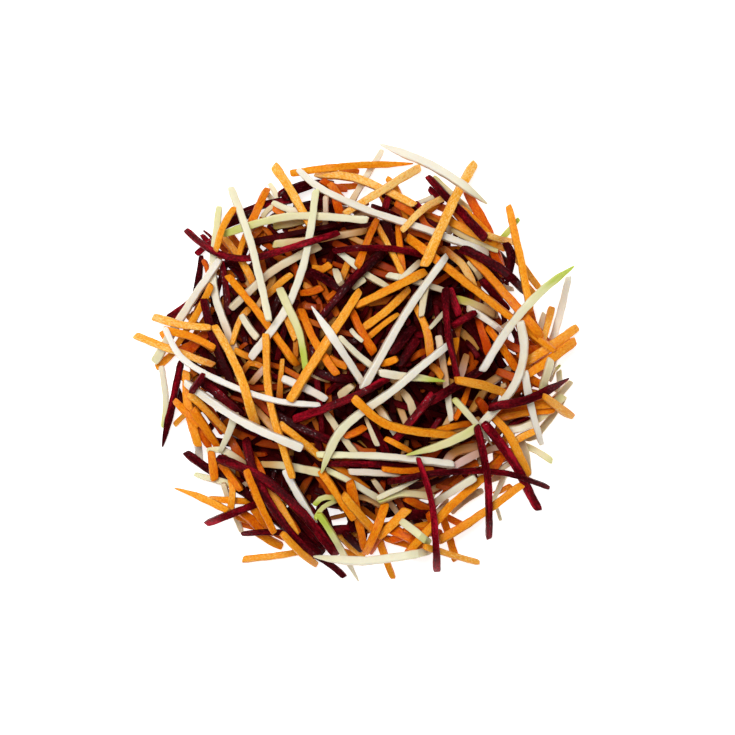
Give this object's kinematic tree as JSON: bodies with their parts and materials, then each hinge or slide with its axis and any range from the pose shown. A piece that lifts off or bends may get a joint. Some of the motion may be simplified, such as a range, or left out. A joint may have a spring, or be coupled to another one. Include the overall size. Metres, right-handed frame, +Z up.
{
  "type": "heap of julienned vegetables",
  "caption": "Loose round heap of raw vegetable shreds, carrot, beetroot and kohlrabi, as laid on a surface for serving, garnish or display.",
  "frame": {"origin": "middle of the heap's footprint, on the surface it rests on", "axes": "+Z up; +X to the right and +Y to the top of the heap as seen from straight above"},
  "size_m": [0.1514, 0.148, 0.0433],
  "materials": {
    "carrot": "fresh cut carrot, orange, slightly wet",
    "beetroot": "fresh cut beetroot, deep crimson to purple-black, wet",
    "kohlrabi": "fresh cut kohlrabi, ivory, pale green towards its skin side"
  },
  "bodies": {
    "root": {"julienne_heap": "carrot"}
  },
  "joints": []
}
